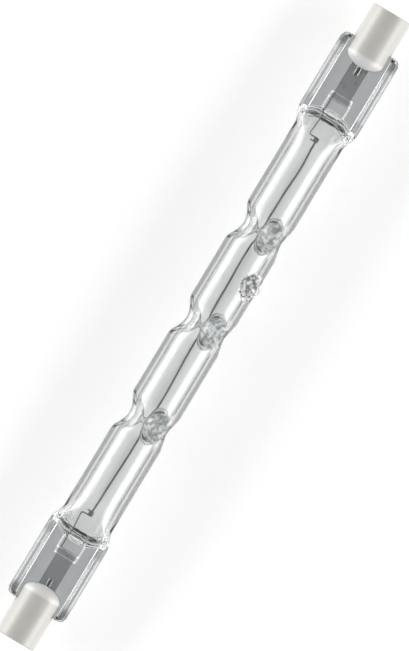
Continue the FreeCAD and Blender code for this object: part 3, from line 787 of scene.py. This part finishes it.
def ceramic_cap(side, turn, material):
    """A fired cap: softened edges, a stepped recess at the end and a slot for the pinch at the nose."""
    dome_start = math.asin(HOLE_RADIUS / CAP_RADIUS)
    dome = [dome_start + (math.pi / 2 - dome_start) * step / 10 for step in range(10, -1, -1)]
    mesh = turned_shape((
        (SEAT_FLOOR, HOLE_RADIUS), (SEAT_FLOOR, SEAT_RADIUS), (CONTACT_FACE, SEAT_RADIUS),
        (CONTACT_FACE, RECESS_RADIUS), (CAP_END, RECESS_RADIUS), (CAP_END, CAP_RADIUS),
        *((NOSE_EDGE - NOSE_LENGTH * math.cos(lean), CAP_RADIUS * math.sin(lean)) for lean in dome)))
    soften_rims(mesh, (SEAT_RADIUS + RECESS_RADIUS) / 2, CAP_EDGE, 4)
    slotted = cut_slot(mesh)
    turn_to_end(slotted, turn)
    piece(slotted, f"cap_{side}", material, f"ceramic_cap_{side}", crease=30)


def cut_slot(mesh):
    """Takes the pinch's slot out of a cap with a block."""
    block = bmesh.new()
    bmesh.ops.create_cube(block, size=1)
    bmesh.ops.scale(
        block, verts=block.verts, vec=(SLOT_FLOOR - SLOT_START, SLOT_CUTTER_WIDTH, 2 * SLOT_HALF))
    bmesh.ops.translate(block, verts=block.verts, vec=((SLOT_FLOOR + SLOT_START) / 2, 0, 0))
    things = []
    for name, shape in (("slot_cap", mesh), ("slot_block", block)):
        data = bpy.data.meshes.new(name)
        shape.to_mesh(data)
        shape.free()
        things.append(bpy.data.objects.new(name, data))
        bpy.context.scene.collection.objects.link(things[-1])
    cap, cutter = things
    slot = cap.modifiers.new("slot", "BOOLEAN")
    slot.operation = "DIFFERENCE"
    slot.object = cutter
    cut = bpy.data.meshes.new_from_object(cap.evaluated_get(bpy.context.evaluated_depsgraph_get()))
    result = bmesh.new()
    result.from_mesh(cut)
    for thing in things:
        data = thing.data
        bpy.data.objects.remove(thing)
        bpy.data.meshes.remove(data)
    bpy.data.meshes.remove(cut)
    return result


def contact_button(side, turn, material):
    """A turned contact with a shank, its rim softened."""
    mesh = turned_shape((
        (SHANK_END, 0.0), (CONTACT_FACE, 0.0), (CONTACT_FACE, BUTTON_RADIUS), (SEAT_FLOOR, BUTTON_RADIUS),
        (SEAT_FLOOR, SHANK_RADIUS), (SHANK_END, SHANK_RADIUS)), steps=72)
    soften_rims(mesh, (SHANK_RADIUS + BUTTON_RADIUS) / 2, BUTTON_EDGE, 3)
    turn_to_end(mesh, turn)
    piece(mesh, f"button_{side}", material, f"contact_button_{side}", crease=30)


def dress_solid(node, material):
    """Gives a solid that keeps its own shape its finish."""
    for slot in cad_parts[node].material_slots:
        slot.material = material


def build_bulb():
    quartz_envelope(quartz_finish())
    filament(metal_finish("tungsten", TUNGSTEN, rough=0.35, lines=6.0))
    wire = metal_finish("molybdenum_wire", WIRE_METAL, rough=0.3, lines=9.0)
    foil = metal_finish("molybdenum_foil", FOIL_METAL, rough=0.38, lines=3.0)
    ceramic = ceramic_finish()
    cement = cement_finish()
    nickel = contact_finish()
    for side, turn in ENDS:
        inner_lead(side, turn, wire)
        sealing_foil(side, foil)
        dress_solid(f"outer_lead_{side}", wire)
        ceramic_cap(side, turn, ceramic)
        dress_solid(f"cap_cement_{side}", cement)
        contact_button(side, turn, nickel)


def seen_directly(finish):
    """One for what is seen directly, in a gloss or through glass, and nought for other light."""
    camera, glossy, through = (
        finish.node("ShaderNodeLightPath", output=f"Is {ray} Ray")
        for ray in ("Camera", "Glossy", "Transmission"))
    return camera.math("MAXIMUM", camera.math("MAXIMUM", camera, glossy), through)


def studio_floor():
    """White paper under the bulb, lifted to white where it is seen and not where it lights the bulb."""
    mesh = bmesh.new()
    bmesh.ops.create_grid(mesh, x_segments=8, y_segments=8, size=FLOOR_HALF_SIZE)
    bmesh.ops.translate(mesh, verts=mesh.verts, vec=(0, 0, -FLOOR_DROP))
    data = bpy.data.meshes.new("studio_floor")
    mesh.to_mesh(data)
    mesh.free()
    floor = bpy.data.objects.new("studio_floor", data)
    bpy.context.scene.collection.objects.link(floor)
    material, finish = new_finish("studio_floor")
    paper = finish.grain(0.8, 4)
    lift = finish.mix(seen_directly(finish), *PAPER_LIFT)
    finish.surface({
        "Base Color": finish.mix(paper, *PAPER), "Roughness": 0.9,
        "Specular IOR Level": 0.1, "Emission Color": lift, "Emission Strength": 1.0})
    data.materials.append(material)


def side_box(name, side, glow, lowest, highest):
    """A long soft box beside the bulb that shows as a white band along the glass."""
    lamp = bpy.data.lights.new(name, "AREA")
    lamp.shape = "RECTANGLE"
    lamp.size = BOX_LENGTH
    lamp.size_y = highest - lowest
    lamp.energy = glow * math.pi * lamp.size * lamp.size_y
    light = bpy.data.objects.new(name, lamp)
    light.location = (0, side * BOX_DISTANCE, (lowest + highest) / 2)
    light.rotation_euler = (math.pi / 2, 0, math.pi if side > 0 else 0)
    light.visible_camera = False
    bpy.context.scene.collection.objects.link(light)


def studio():
    """The floor, the white room round it and a soft box on each side."""
    studio_floor()
    world = bpy.data.worlds.new("studio")
    world.use_nodes = True
    bpy.context.scene.world = world
    finish = Finish(world.node_tree)
    glow = finish.mix(seen_directly(finish), *ROOM_GLOW)
    background = finish.node("ShaderNodeBackground", {}, {"Color": glow, "Strength": 1.0})
    finish.node("ShaderNodeOutputWorld", {}, {"Surface": background})
    for box in SIDE_BOXES:
        side_box(*box)


def photo_camera():
    """A long lens straight above the bulb, turned so that the bulb leans as it does in the photo."""
    camera = bpy.data.cameras.new("camera")
    camera.sensor_fit = "VERTICAL"
    camera.sensor_height = CAMERA_SENSOR
    camera.lens = CAMERA_LENS
    view = bpy.data.objects.new("camera", camera)
    view.location = (PICTURE_MIDDLE + Vector((0, 0, AXIS_HEIGHT + CAMERA_DISTANCE))) * MILLIMETRE
    view.rotation_euler = (0, 0, PHOTO_LEAN - math.pi / 2)
    bpy.context.scene.collection.objects.link(view)
    bpy.context.scene.camera = view
    bpy.context.scene.view_settings.view_transform = "Standard"


build_bulb()
studio()
photo_camera()
